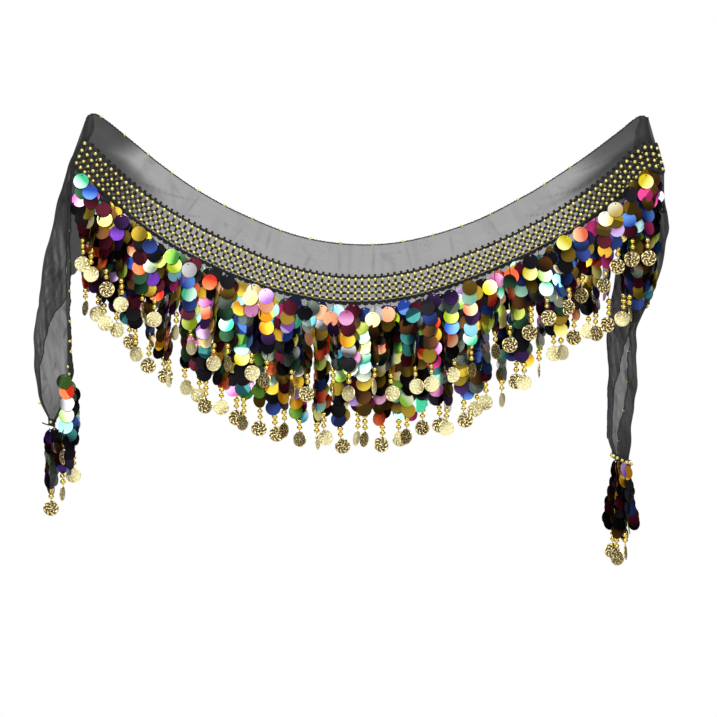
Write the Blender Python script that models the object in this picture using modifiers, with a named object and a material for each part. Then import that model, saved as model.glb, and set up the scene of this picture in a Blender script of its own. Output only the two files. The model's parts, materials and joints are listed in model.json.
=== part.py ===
"""Belly dance hip scarf, held open between two hands.

One long strip of sheer black chiffon carries a crocheted net of small gilt beads, and a fringe
of threaded paillettes in a short and a long tier hangs from the net. The strip sags between the
two grips, folds back behind each of them, and its ends hang down as tails with a tassel each.

The tables are in millimetres and degrees. The model is in metres, +Z up. Its front faces -Y, and
its origin is the point of the cloth that the hand on the left pinches.
"""

from collections import namedtuple
from math import cos, exp, pi, radians, sin

import bmesh
import bpy
from mathutils import Vector

MM = 0.001

# Walls and seams
CLOTH = 1.0            # chiffon
NET = 2.4              # crocheted net with its beads
HEM_RADIUS = 1.3       # rolled and crocheted hem
SEAM = 0.3             # between pieces that touch

# The hang of the front stretch
BOW = 20.0             # how far its middle stands forward of the grips
ROLL = 2.0             # how far its two ends turn back
ROLL_WIDTH = 12.0
CREASE_SKEW = 0.7      # below 1, a crease is deepest near the grip that it fans out of
CREASE_FADE = (-6, 8)  # heights above the net between which the creases fade in
FRINGE_CLEAR = 1.5     # from the chiffon to the strands behind
LONG_DEPTH = 13.0      # how deep the long tier is from back to front
SHORT_DEPTH = 11.0
FRINGE_TOP = 1.5       # from the net to where the strands begin to thicken
TOP_DEPTH = 2.4        # both tiers where their strands leave the net
SPREAD_DROP = 28.0     # the drop over which the strands spread to full depth
FULL_TO = 0.6          # share of the drop down to which a tier keeps its full depth
END_DEPTH = 0.6        # share of that depth left at its lower end

# How finely the pieces are divided
FRONT_COLUMNS = 56
END_CROWDING = 0.6     # 0 spaces the columns evenly
PLAIN_ROWS = 5
NET_ROWS = 3
VEIL_ROWS = 2
TAIL_ROWS = 24
FLAP_STEPS = 2
FOLD_STEPS = 3
BACK_STEPS = 6
TAIL_HEM_STEPS = 18
TASSEL_SIDES = 10
FRINGE_COLUMNS = 6
STRETCHES = 6          # lengths that each fringe tier is sewn in

# Across the strip at stations along its front stretch: x and z of the net's upper edge, the lean
# of the cross line, the plain cloth above the net, the net, the veil below it, and how far the
# short and the long tier reach below the net.
Station = namedtuple("Station", "x z lean plain net veil short long")
FRONT = [
    Station(-9, -12, 20, 35, 36, 146, 120, 188),
    Station(0, -18, 22, 38, 35, 138, 125, 190),
    Station(31, -48, 38, 41.5, 34, 70, 122, 172),
    Station(70, -81, 37, 42.4, 34, 46, 127, 179),
    Station(122, -116, 30, 41, 36, 40, 122, 186),
    Station(187, -150, 25, 40, 36, 38, 129, 194),
    Station(265, -182, 16, 41.6, 33, 36, 129, 194),
    Station(343, -195.5, 3, 42.6, 32, 36, 126, 190),
    Station(421, -188.5, -10, 40, 31, 36, 126, 188),
    Station(512, -159, -24, 36.5, 30, 36, 120, 181),
    Station(590, -122, -30, 38, 30, 38, 110, 159),
    Station(636, -94, -34, 38.5, 31, 42, 105, 157),
    Station(681, -61, -38, 37, 31, 46, 98, 170),
    Station(710, -33, -25, 33, 31, 44, 120, 175),
    Station(727, -23, -12, 38, 31, 40, 125, 172),
    Station(742, -24, -16, 38, 36, 36, 120, 160),
]
GRIP_X = -5.6          # the section that the hand on the left pinches
NET_FROM = 0           # the net starts here, a little inside the fold, and ends at the other fold
FRINGE_FROM = 2
FRINGE_TO = 736

# Soft creases in the plain cloth, fanning out of the two grips: where each starts and ends, how
# wide it is, and how deep. A negative depth stands forward.
Crease = namedtuple("Crease", "x0 z0 x1 z1 width depth")
CREASES = [
    Crease(4, 8, 62, -58, 7, 3.0),
    Crease(2, -2, 96, -88, 6, -2.6),
    Crease(8, 12, 88, -38, 8, 1.8),
    Crease(120, -70, 176, -126, 9, 1.2),
    Crease(250, -142, 262, -176, 10, 1.0),
    Crease(430, -150, 418, -184, 11, -1.0),
    Crease(560, -98, 520, -140, 9, 1.4),
    Crease(728, 6, 640, -62, 7, 2.8),
    Crease(732, -6, 652, -72, 6, -2.6),
    Crease(722, 10, 610, -52, 9, 1.8),
]

# Across each tail, from the grip down to its tip: z, its left and right edges, how wide a flap
# folds forward from each edge, how far back the tail hangs, the depth between its two layers,
# how deep its soft folds are, and how much lower its right edge is than its left.
Section = namedtuple("Section", "z left right left_flap right_flap y deep wave slant")
LEFT_TAIL = [
    Section(14, -1, 9, 2, 1, 9, 6, 0, 0),
    Section(-6, -6, 7, 4, 1, 9, 6, 0.3, 0),
    Section(-28, -15, -5, 3, 1, 9, 6, 0.3, 0),
    Section(-48, -24, -15, 2, 1, 9, 6, 0.2, 0),
    Section(-68, -29, -18.5, 3, 1, 9.5, 6, 0.4, 0),
    Section(-94, -38, -21, 11, 1, 10, 6, 0.8, 0),
    Section(-129, -45.5, -23, 17, 1, 10, 6, 1.2, 0),
    Section(-174, -57, -23, 28, 1, 11, 6, 1.5, 0),
    Section(-222, -62.4, -23, 33, 1, 11, 6, 1.6, 0),
    Section(-243, -66, -22.5, 20, 1, 12, 6, 1.6, 0),
    Section(-270, -69, -21.5, 14, 1, 12, 6, 1.5, 0),
    Section(-290, -69.6, -20, 9, 1, 12, 6, 1.4, 0),
    Section(-312, -68, -20, 5, 1, 12, 6, 1.2, 2),
    Section(-336, -65, -24, 2, 1, 12, 6, 0.8, 6),
    Section(-356, -61, -33, 1.5, 1, 12, 6, 0.5, 10),
    Section(-377, -51, -41, 1, 1, 12, 5, 0.2, 3),
]
RIGHT_TAIL = [
    Section(6, 716, 730, 2, 2, 9, 6, 0, 0),
    Section(-18, 712, 738, 4, 4, 9, 6, 0.3, 0),
    Section(-42, 710, 745, 5, 6, 9.5, 6, 0.5, 0),
    Section(-66, 708, 749, 5, 7, 10, 6, 0.6, 0),
    Section(-100, 704, 755, 6, 8, 10, 6, 0.7, 0),
    Section(-136, 699, 758, 6, 9, 10, 6, 0.8, 0),
    Section(-172, 693, 751, 14, 10, 10, 6, 0.8, 0),
    Section(-208, 687, 742, 30, 13, 10, 6, 0.8, 0),
    Section(-240, 682, 727, 30, 10, 10, 6, 0.8, 0),
    Section(-262, 680, 717, 26, 7, 10, 6, 0.9, 0),
    Section(-290, 679.5, 717, 16, 7, 10, 6, 1.0, 0),
    Section(-318, 680, 717.6, 8, 10, 10, 6, 1.1, 0),
    Section(-348, 680, 715.5, 3.5, 10, 10, 6, 1.1, 0),
    Section(-378, 679, 712.5, 2, 12, 10, 6, 0.9, 0),
    Section(-402, 680, 710.5, 2, 15, 10, 6, 0.6, 5),
    Section(-420, 686, 708.5, 2, 12, 10, 6, 0.3, 11),
]
TAIL_FOLD_PITCH = 13.0
TAIL_FOLD_SLIP = 40.0  # drop over which the folds shift sideways by a sixth of their pitch
NARROW_FLAP = 0.6      # least width of a flap
FLAP_GAP = 2.0         # between the edges of a tail's two flaps
LEFT_HEM_SPAN = (-50, -338)
RIGHT_HEM_SPAN = (-244, -404)
RETURN_NET_SPAN = (-30, -108)
RETURN_NET_FROM = 2    # first of the tail's back columns that the returned net covers

# Tassels and ties, from the top down: z, the middle's x and y, half the width and depth, and how
# much lower the right side is than the left.
Ring = namedtuple("Ring", "z x y half_width half_depth slant")
RETURN_FRINGE = [
    Ring(-60, 748, 21.5, 5, 3, 0),
    Ring(-84, 743, 23.5, 12, 5, 0),
    Ring(-112, 738, 25, 18, 6.5, 0),
    Ring(-150, 737, 23.5, 20, 7, 0),
    Ring(-196, 728, 22, 22, 7, 0),
    Ring(-232, 716, 22, 20, 6.5, 0),
    Ring(-256, 708, 22, 14, 5, 0),
]
LEFT_HEM_TASSEL = [
    Ring(-327, -17, 6, 3, 3, 0),
    Ring(-340, -20, 5, 9, 5, 0),
    Ring(-366, -20, 5, 12, 7, 0),
    Ring(-400, -20, 5, 13, 8, 0),
    Ring(-440, -17, 5, 11, 7, 0),
    Ring(-463, -17, 5, 9, 4, 0),
]
LEFT_TIP_KNOT = [
    Ring(-379.6, -46, 12, 4.5, 3, 2.4),
    Ring(-383, -45.7, 12, 5.5, 4.5, 2),
    Ring(-388, -45.5, 12, 4, 3.5, 0),
]
LEFT_TIP_TASSEL = [
    Ring(-388.4, -45.5, 12, 3, 3, 0),
    Ring(-402, -45.5, 12, 8, 6, 0),
    Ring(-440, -45, 12, 12, 8, 0),
    Ring(-475, -42, 12, 12, 8, 0),
    Ring(-507, -44, 12, 10, 4, 0),
]
RIGHT_TIP_BAND = [
    Ring(-427.2, 697.5, 10, 12, 5, 12),
    Ring(-430.5, 697.5, 10, 13, 6.5, 13),
    Ring(-434.5, 697, 10, 12, 5.5, 12),
]
RIGHT_TIP_TASSEL = [
    Ring(-435.2, 697, 10, 9, 4.5, 9),
    Ring(-452, 696.5, 10, 15, 8, 8),
    Ring(-490, 696, 10, 21, 10, 0),
    Ring(-530, 694, 10, 20, 10, 0),
    Ring(-564, 692, 10, 15, 5, 0),
]


# ---- tables and the shape of the front stretch ----

def smooth_column(rows, key, name, place):
    """One column of a table at any place along its key column, on a smooth curve through it."""
    keys = [getattr(row, key) for row in rows]
    values = [getattr(row, name) for row in rows]
    sign = 1 if keys[-1] > keys[0] else -1
    index = 0
    while index < len(keys) - 2 and sign * place > sign * keys[index + 1]:
        index += 1

    def slope(at):
        low = max(at - 1, 0)
        high = min(at + 1, len(keys) - 1)
        return (values[high] - values[low]) / (keys[high] - keys[low])

    span = keys[index + 1] - keys[index]
    t = (place - keys[index]) / span
    value = values[index] * (2 * t ** 3 - 3 * t ** 2 + 1)
    value += values[index + 1] * (3 * t ** 2 - 2 * t ** 3)
    value += slope(index) * span * (t ** 3 - 2 * t ** 2 + t)
    value += slope(index + 1) * span * (t ** 3 - t ** 2)
    return value


def station(x):
    """The strip's section at any x of the net's upper edge."""
    return Station(x, *(smooth_column(FRONT, "x", name, x) for name in Station._fields[1:]))


def row_between(rows, z):
    """A tail's section at any height."""
    return Section(z, *(smooth_column(rows, "z", name, z) for name in Section._fields[1:]))


def crease_depth(x, z):
    """Depth that the soft creases add to the plain cloth."""
    depth = 0.0
    for crease in CREASES:
        run_x = crease.x1 - crease.x0
        run_z = crease.z1 - crease.z0
        length = (run_x ** 2 + run_z ** 2) ** 0.5
        along = ((x - crease.x0) * run_x + (z - crease.z0) * run_z) / length ** 2
        if 0 < along < 1:
            away = ((x - crease.x0) * run_z - (z - crease.z0) * run_x) / length
            rise = sin(pi * along ** CREASE_SKEW)
            depth += crease.depth * rise * exp(-(away / crease.width) ** 2)
    return depth


def bow_depth(x):
    """Depth of the front stretch without its creases: it stands forward in its middle."""
    first = FRONT[0].x
    last = FRONT[-1].x
    return -BOW * sin(pi * min(max((x - first) / (last - first), 0), 1))


def front_depth(x, z, above_net):
    """Depth of the chiffon's front face. The creases fade out where the net stiffens it."""
    low, high = CREASE_FADE
    fade = min(max((above_net - low) / (high - low), 0), 1)
    depth = bow_depth(x) + crease_depth(x, z) * fade
    edge = min(x - FRONT[0].x, FRONT[-1].x - x)
    if edge < ROLL_WIDTH:
        depth += ROLL * (1 - max(edge, 0) / ROLL_WIDTH) ** 2
    return depth


def grip_depth():
    """What is taken off every depth, so that the origin is in the middle of the pinched cloth."""
    return front_depth(GRIP_X, 0, FRONT[0].plain / 2) + CLOTH / 2


def strip_point(x, above_net):
    """A point of the chiffon's front face, by its distance above the net's upper edge."""
    here = station(x)
    lean = radians(here.lean)
    slide = max(above_net, -here.net)
    px = here.x + slide * sin(lean)
    pz = here.z + slide * cos(lean) + (above_net - slide)
    return Vector((px, front_depth(x, pz, above_net) - grip_depth(), pz))


# ---- building meshes ----

def add_object(name, bm, material):
    mesh = bpy.data.meshes.new(name)
    bm.to_mesh(mesh)
    bm.free()
    piece = bpy.data.objects.new(name, mesh)
    scarf.objects.link(piece)
    mesh.materials.append(material)
    mesh.shade_smooth()
    return piece


def sheet(name, rows, thickness, offset, material):
    """A wall of cloth on an open surface, given as rows of points in millimetres."""
    across = len(rows[0]) - 1
    down = len(rows) - 1
    bm = bmesh.new()
    bmesh.ops.create_grid(bm, x_segments=across, y_segments=down, size=1)
    for vert in bm.verts:
        column = round((vert.co.x + 1) / 2 * across)
        row = round((1 - vert.co.y) / 2 * down)
        vert.co = rows[row][column] * MM
    piece = add_object(name, bm, material)
    wall = piece.modifiers.new("wall", "SOLIDIFY")
    wall.thickness = thickness * MM
    wall.offset = offset
    return piece


def loft(name, rings, material):
    """A closed body through rings with the same number of points each, in millimetres."""
    bm = bmesh.new()
    loops = [[bm.verts.new(point * MM) for point in ring] for ring in rings]
    count = len(rings[0])
    for upper, lower in zip(loops, loops[1:]):
        for i in range(count):
            following = (i + 1) % count
            bm.faces.new((upper[i], upper[following], lower[following], lower[i]))
    bm.faces.new(loops[0])
    bm.faces.new(reversed(loops[-1]))
    bmesh.ops.recalc_face_normals(bm, faces=bm.faces)
    return add_object(name, bm, material)


def cord(name, points, radius, material):
    """A round cord through points in millimetres."""
    curve = bpy.data.curves.new(name, "CURVE")
    curve.dimensions = "3D"
    curve.bevel_depth = radius * MM
    curve.bevel_resolution = 1
    curve.use_fill_caps = True
    spline = curve.splines.new("POLY")
    spline.points.add(len(points) - 1)
    for knot, point in zip(spline.points, points):
        knot.co = (point.x * MM, point.y * MM, point.z * MM, 1)
    piece = bpy.data.objects.new(name, curve)
    scarf.objects.link(piece)
    curve.materials.append(material)
    return piece


def finish(name, colour, roughness, metallic=0.0):
    material = bpy.data.materials.new(name)
    material.use_nodes = True
    shader = material.node_tree.nodes["Principled BSDF"]
    shader.inputs["Base Color"].default_value = (*colour, 1)
    shader.inputs["Roughness"].default_value = roughness
    shader.inputs["Metallic"].default_value = metallic
    return material


# ---- the pieces ----

def spaced(first, last, count):
    return [first + (last - first) * i / count for i in range(count + 1)]


def front_columns():
    """Where the front stretch is divided: closer together near its two ends."""
    columns = []
    for t in spaced(0, 1, FRONT_COLUMNS):
        share = t - END_CROWDING * sin(2 * pi * t) / (2 * pi)
        columns.append(FRONT[0].x + (FRONT[-1].x - FRONT[0].x) * share)
    return columns


def chiffon_front():
    """The strip between the grips: plain above, behind the net, and the veil below it."""
    rows = [[] for _ in range(PLAIN_ROWS + NET_ROWS + VEIL_ROWS + 1)]
    for x in front_columns():
        here = station(x)
        heights = spaced(here.plain, 0, PLAIN_ROWS)
        heights += spaced(0, -here.net, NET_ROWS)[1:]
        heights += spaced(-here.net, -here.net - here.veil, VEIL_ROWS)[1:]
        for row, height in zip(rows, heights):
            row.append(strip_point(x, height))
    return sheet("chiffon_front", rows, CLOTH, -1, chiffon)


def bead_net():
    """The crocheted net, worked in front of the chiffon, from its points moved forward."""
    rows = [[] for _ in range(NET_ROWS + 1)]
    for x in front_columns():
        if x >= NET_FROM:
            for row, height in zip(rows, spaced(0, -station(x).net, NET_ROWS)):
                row.append(strip_point(x, height) + Vector((0, -SEAM, 0)))
    return sheet("bead_net", rows, NET, 1, crochet)


def top_hem():
    """The rolled hem along the strip's upper edge."""
    rise = SEAM + HEM_RADIUS
    points = []
    for x in front_columns():
        edge = strip_point(x, station(x).plain + rise)
        points.append(edge + Vector((0, CLOTH / 2, 0)))
    return cord("top_hem", points, HEM_RADIUS, crochet)


def fringe_ring(x, tier):
    """Section of one fringe tier, hanging straight down from the net's lower edge."""
    here = station(x)
    top = strip_point(x, -here.net)
    drop = here.long if tier == "long" else here.short
    deep = LONG_DEPTH if tier == "long" else SHORT_DEPTH
    heights = [FRINGE_TOP, SPREAD_DROP, drop * FULL_TO, drop]
    depths = [TOP_DEPTH, deep, deep, deep * END_DEPTH]
    back = bow_depth(x) - grip_depth() - FRINGE_CLEAR
    fronts = []
    backs = []
    for height, depth in zip(heights, depths):
        behind = back
        if tier == "short":
            spread = min(height / SPREAD_DROP, 1)
            behind -= TOP_DEPTH + (LONG_DEPTH - TOP_DEPTH) * spread + SEAM
        backs.append(Vector((top.x, behind, top.z - height)))
        fronts.append(Vector((top.x, behind - depth, top.z - height)))
    return backs + fronts[::-1]


def fringe_tier(tier, material):
    """A tier of strands, as plain solids of their reach, one for each sewn length."""
    step = (FRINGE_TO - FRINGE_FROM) / STRETCHES
    for index in range(STRETCHES):
        first = FRINGE_FROM + step * index + SEAM
        last = FRINGE_FROM + step * (index + 1) - SEAM
        rings = [fringe_ring(x, tier) for x in spaced(first, last, FRINGE_COLUMNS)]
        loft(f"fringe_{tier}_{index + 1}", rings, material)


def tail_line(rows, z):
    """A tail's cloth at one height: flap, fold, back layer, fold and flap, left to right."""
    here = row_between(rows, z)
    radius = here.deep / 2
    width = here.right - here.left
    inner_left = here.left + radius
    inner_right = here.right - radius
    right_flap = max(here.right_flap, NARROW_FLAP)
    room = max(width - 2 * radius - right_flap - FLAP_GAP, NARROW_FLAP)
    left_flap = min(max(here.left_flap, NARROW_FLAP), room)
    flat = []
    for x in spaced(inner_left + left_flap, inner_left, FLAP_STEPS):
        flat.append((x, -radius))
    for turn in spaced(0, pi, FOLD_STEPS)[1:]:
        flat.append((inner_left - radius * sin(turn), -radius * cos(turn)))
    for x in spaced(inner_left, inner_right, BACK_STEPS)[1:]:
        flat.append((x, radius))
    for turn in spaced(0, pi, FOLD_STEPS)[1:]:
        flat.append((inner_right + radius * sin(turn), radius * cos(turn)))
    for x in spaced(inner_right, inner_right - right_flap, FLAP_STEPS)[1:]:
        flat.append((x, -radius))
    points = []
    for x, y in flat:
        across = (x - here.left) / width
        fold = here.wave * sin(2 * pi * (x - here.left) / TAIL_FOLD_PITCH + z / TAIL_FOLD_SLIP)
        points.append(Vector((x, here.y + y + fold, z - here.slant * across)))
    return points


def tail(name, rows):
    """One end of the strip, folded back at the grip and hanging as a tail of two layers."""
    lines = [tail_line(rows, z) for z in spaced(rows[0].z, rows[-1].z, TAIL_ROWS)]
    return sheet(name, lines, CLOTH, 0, chiffon)


def tail_hem(name, rows, span, side):
    """The strip's upper hem where it runs on down one edge of a tail."""
    points = []
    for z in spaced(*span, TAIL_HEM_STEPS):
        here = row_between(rows, z)
        drop = here.slant if side == "right" else 0
        edge = here.right if side == "right" else here.left
        away = CLOTH / 2 + SEAM + HEM_RADIUS
        x = edge + away if side == "right" else edge - away
        slip = z / TAIL_FOLD_SLIP
        fold = here.wave * sin(2 * pi * (edge - here.left) / TAIL_FOLD_PITCH + slip)
        points.append(Vector((x, here.y + fold, z - drop)))
    return cord(name, points, HEM_RADIUS, crochet)


def returned_net():
    """The net's last stretch, on the turned back of the right tail."""
    top, bottom = RETURN_NET_SPAN
    first = FLAP_STEPS + FOLD_STEPS + RETURN_NET_FROM
    last = FLAP_STEPS + FOLD_STEPS + BACK_STEPS
    rows = []
    for z in spaced(RIGHT_TAIL[0].z, RIGHT_TAIL[-1].z, TAIL_ROWS):
        if bottom < z < top:
            line = tail_line(RIGHT_TAIL, z)[first:last + 1]
            rows.append([point + Vector((0, CLOTH / 2 + 2 * SEAM, 0)) for point in line])
    return sheet("bead_net_return", rows, NET, -1, crochet)


def tassel(name, rings, material):
    """A bundle of strands, a tie or a knot, as a plain solid of its reach."""
    loops = []
    for ring in rings:
        loop = []
        for i in range(TASSEL_SIDES):
            angle = 2 * pi * i / TASSEL_SIDES
            x = ring.x + ring.half_width * cos(angle)
            y = ring.y + ring.half_depth * sin(angle)
            loop.append(Vector((x, y, ring.z - ring.slant / 2 * cos(angle))))
        loops.append(loop)
    return loft(name, loops, material)


for leftover in list(bpy.data.objects):
    bpy.data.objects.remove(leftover)
scarf = bpy.data.collections.new("hip_scarf")
bpy.context.scene.collection.children.link(scarf)

chiffon = finish("black_chiffon", (0.03, 0.03, 0.032), 0.8)
crochet = finish("black_crochet", (0.015, 0.015, 0.016), 0.6)
gilt = finish("gilt_beads", (0.83, 0.62, 0.2), 0.25, metallic=1.0)
short_film = finish("short_paillettes", (0.42, 0.12, 0.45), 0.2)
long_film = finish("long_paillettes", (0.1, 0.16, 0.42), 0.2)

chiffon_front()
bead_net()
top_hem()
fringe_tier("long", long_film)
fringe_tier("short", short_film)

tail("chiffon_left_tail", LEFT_TAIL)
tail("chiffon_right_tail", RIGHT_TAIL)
tail_hem("left_tail_hem", LEFT_TAIL, LEFT_HEM_SPAN, "right")
tail_hem("right_tail_hem", RIGHT_TAIL, RIGHT_HEM_SPAN, "left")
returned_net()

tassel("fringe_return", RETURN_FRINGE, long_film)
tassel("left_hem_tassel", LEFT_HEM_TASSEL, short_film)
tassel("left_tip_knot", LEFT_TIP_KNOT, crochet)
tassel("left_tip_tassel", LEFT_TIP_TASSEL, short_film)
tassel("right_tip_band", RIGHT_TIP_BAND, gilt)
tassel("right_tip_tassel", RIGHT_TIP_TASSEL, long_film)
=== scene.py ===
"""Looks of the hip scarf: sheer chiffon, crocheted net of gilt beads, and a fringe of threaded
paillettes and coins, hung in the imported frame.

Tables are in millimetres and degrees, as in the part's own source; meshes are in metres.
The front faces -Y, and the origin is the point of cloth that the left grip pinches.
"""

import json
import random
from collections import defaultdict, namedtuple
from math import atan2, cos, exp, hypot, pi, radians, sin

import bmesh
import bpy
from mathutils import Matrix, Vector, noise

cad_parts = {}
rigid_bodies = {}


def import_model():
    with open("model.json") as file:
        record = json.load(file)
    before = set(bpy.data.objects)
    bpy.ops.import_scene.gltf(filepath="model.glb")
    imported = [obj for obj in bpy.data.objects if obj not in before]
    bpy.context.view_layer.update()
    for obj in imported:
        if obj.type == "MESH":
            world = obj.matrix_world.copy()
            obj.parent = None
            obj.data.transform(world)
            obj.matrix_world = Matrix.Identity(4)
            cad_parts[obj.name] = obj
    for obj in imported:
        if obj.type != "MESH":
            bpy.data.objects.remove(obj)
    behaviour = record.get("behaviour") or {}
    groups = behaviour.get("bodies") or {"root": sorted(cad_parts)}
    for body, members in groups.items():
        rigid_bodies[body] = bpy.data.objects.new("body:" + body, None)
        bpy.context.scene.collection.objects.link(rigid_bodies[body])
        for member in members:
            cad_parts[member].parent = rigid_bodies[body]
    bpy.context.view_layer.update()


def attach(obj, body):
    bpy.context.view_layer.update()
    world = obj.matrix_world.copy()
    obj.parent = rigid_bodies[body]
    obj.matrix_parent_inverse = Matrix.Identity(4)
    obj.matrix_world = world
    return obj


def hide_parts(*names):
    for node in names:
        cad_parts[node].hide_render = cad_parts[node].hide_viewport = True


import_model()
MM = 0.001


def rows_of(kind, *rows):
    """A table's rows, each of the same kind."""
    return [kind(*row) for row in rows]


def placed(name, data):
    """A new object in the scene."""
    made = bpy.data.objects.new(name, data)
    bpy.context.scene.collection.objects.link(made)
    return made


# ---- camera ----

VIEW_DISTANCE = 3.0
VIEW_WIDTH = 0.932          # what the picture's width takes in at the scarf
VIEW_CENTRE = Vector((0.3543, 0.0, -0.2997))
SENSOR = 36.0

camera_data = bpy.data.cameras.new("camera")
camera_data.sensor_width = SENSOR
camera_data.lens = SENSOR * VIEW_DISTANCE / VIEW_WIDTH
camera = placed("camera", camera_data)
camera.location = VIEW_CENTRE + Vector((0, -VIEW_DISTANCE, 0))
camera.rotation_euler = (pi / 2, 0, 0)
bpy.context.scene.camera = camera


# ---- the strip, as the part's source has it ----

CLOTH = 1.0
BOW = 20.0
ROLL = 2.0
ROLL_WIDTH = 12.0
GRIP_X = -5.6
CORNER = 12.0              # how far the rolled top corner by the left grip rounds off
CORNER_DROP = 0.8
NET_FROM = 0
NET_TO = 741
FRINGE_FROM = 2
FRINGE_TO = 736

Station = namedtuple("Station", "x z lean plain net veil short long")
FRONT = rows_of(
    Station,
    (-9, -12, 20, 35, 36, 146, 120, 188), (0, -18, 22, 38, 35, 138, 125, 190),
    (31, -48, 38, 41.5, 34, 70, 122, 172), (70, -81, 37, 42.4, 34, 46, 127, 179),
    (122, -116, 30, 41, 36, 40, 122, 186), (187, -150, 25, 40, 36, 38, 129, 194),
    (265, -182, 16, 41.6, 33, 36, 129, 194), (343, -195.5, 3, 42.6, 32, 36, 126, 190),
    (421, -188.5, -10, 40, 31, 36, 126, 188), (512, -159, -24, 36.5, 30, 36, 120, 181),
    (590, -122, -30, 38, 30, 38, 110, 159), (636, -94, -34, 38.5, 31, 42, 105, 157),
    (681, -61, -38, 37, 31, 46, 98, 170), (710, -33, -25, 33, 31, 44, 120, 175),
    (727, -23, -12, 38, 31, 40, 125, 172), (742, -24, -16, 38, 36, 36, 120, 160))

Crease = namedtuple("Crease", "x0 z0 x1 z1 width depth")
CREASES = rows_of(
    Crease,
    (4, 8, 62, -58, 7, 3.0), (2, -2, 96, -88, 6, -2.6), (8, 12, 88, -38, 8, 1.8),
    (120, -70, 176, -126, 9, 1.2), (250, -142, 262, -176, 10, 1.0),
    (430, -150, 418, -184, 11, -1.0), (560, -98, 520, -140, 9, 1.4),
    (728, 6, 640, -62, 7, 2.8), (732, -6, 652, -72, 6, -2.6), (722, 10, 610, -52, 9, 1.8))

Section = namedtuple("Section", "z left right left_flap right_flap y deep wave slant")
LEFT_TAIL = rows_of(
    Section,
    (14, -1, 9, 2, 1, 9, 6, 0, 0), (-6, -6, 7, 4, 1, 9, 6, 0.3, 0),
    (-28, -15, -5, 3, 1, 9, 6, 0.3, 0), (-48, -24, -15, 2, 1, 9, 6, 0.2, 0),
    (-68, -29, -18.5, 3, 1, 9.5, 6, 0.4, 0), (-94, -38, -21, 11, 1, 10, 6, 0.8, 0),
    (-129, -45.5, -23, 17, 1, 10, 6, 1.2, 0), (-174, -57, -23, 28, 1, 11, 6, 1.5, 0),
    (-222, -62.4, -23, 33, 1, 11, 6, 1.6, 0), (-243, -66, -22.5, 20, 1, 12, 6, 1.6, 0),
    (-270, -69, -21.5, 14, 1, 12, 6, 1.5, 0), (-290, -69.6, -20, 9, 1, 12, 6, 1.4, 0),
    (-312, -68, -20, 5, 1, 12, 6, 1.2, 2), (-336, -65, -24, 2, 1, 12, 6, 0.8, 6),
    (-356, -61, -33, 1.5, 1, 12, 6, 0.5, 10), (-377, -51, -41, 1, 1, 12, 5, 0.2, 3))
RIGHT_TAIL = rows_of(
    Section,
    (6, 716, 730, 2, 2, 9, 6, 0, 0), (-18, 712, 738, 4, 4, 9, 6, 0.3, 0),
    (-42, 710, 745, 5, 6, 9.5, 6, 0.5, 0), (-66, 708, 749, 5, 7, 10, 6, 0.6, 0),
    (-100, 704, 755, 6, 8, 10, 6, 0.7, 0), (-136, 699, 758, 6, 9, 10, 6, 0.8, 0),
    (-172, 693, 751, 14, 10, 10, 6, 0.8, 0), (-208, 687, 742, 30, 13, 10, 6, 0.8, 0),
    (-240, 682, 727, 30, 10, 10, 6, 0.8, 0), (-262, 680, 717, 26, 7, 10, 6, 0.9, 0),
    (-290, 679.5, 717, 16, 7, 10, 6, 1.0, 0), (-318, 680, 717.6, 8, 10, 10, 6, 1.1, 0),
    (-348, 680, 715.5, 3.5, 10, 10, 6, 1.1, 0), (-378, 679, 712.5, 2, 12, 10, 6, 0.9, 0),
    (-402, 680, 710.5, 2, 15, 10, 6, 0.6, 5), (-420, 686, 708.5, 2, 12, 10, 6, 0.3, 11))
TAIL_FOLD_PITCH = 13.0
TAIL_WANDER = 2.4
LEFT_HEM_SPAN = (-50, -338)
RIGHT_HEM_SPAN = (-244, -404)
RETURN_NET_SPAN = (-30, -108)


def spaced(first, last, count):
    return [first + (last - first) * i / count for i in range(count + 1)]


def soft(low, high, value):
    """From 0 at low to 1 at high, smoothly."""
    t = min(max((value - low) / (high - low), 0), 1)
    return t * t * (3 - 2 * t)


def between(rows, place):
    """A table's row at any place along its first column, on smooth curves through its rows."""
    keys = [row[0] for row in rows]
    sign = 1 if keys[-1] > keys[0] else -1
    index = 0
    while index < len(keys) - 2 and sign * place > sign * keys[index + 1]:
        index += 1
    span = keys[index + 1] - keys[index]
    t = (place - keys[index]) / span

    def slope(column, at):
        low = max(at - 1, 0)
        high = min(at + 1, len(keys) - 1)
        return (column[high] - column[low]) / (keys[high] - keys[low])

    found = []
    for column in list(zip(*rows))[1:]:
        value = column[index] * (2 * t ** 3 - 3 * t ** 2 + 1)
        value += column[index + 1] * (3 * t ** 2 - 2 * t ** 3)
        value += slope(column, index) * span * (t ** 3 - 2 * t ** 2 + t)
        value += slope(column, index + 1) * span * (t ** 3 - t ** 2)
        found.append(value)
    return type(rows[0])(place, *found)


def station(x):
    here = between(FRONT, x)
    near = min(max(x - FRONT[0].x, 0), CORNER) / CORNER
    rounding = CORNER * CORNER_DROP * (1 - (1 - (1 - near) ** 2) ** 0.5)
    return here._replace(plain=here.plain - rounding)


def tail_fold(here, x, z):
    """How far a tail's soft folds stand out at a place across it."""
    return here.wave * sin(2 * pi * (x - here.left) / TAIL_FOLD_PITCH + z / 40)


def row_between(rows, z):
    """A tail's section at any height, with its two folds wandering a little."""
    here = between(rows, z)
    left = TAIL_WANDER * noise.noise(Vector((z / 27, here.y, 1.5)))
    right = TAIL_WANDER * noise.noise(Vector((z / 21, here.y, 7.5)))
    return here._replace(left=here.left + left, right=here.right + right)


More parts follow.
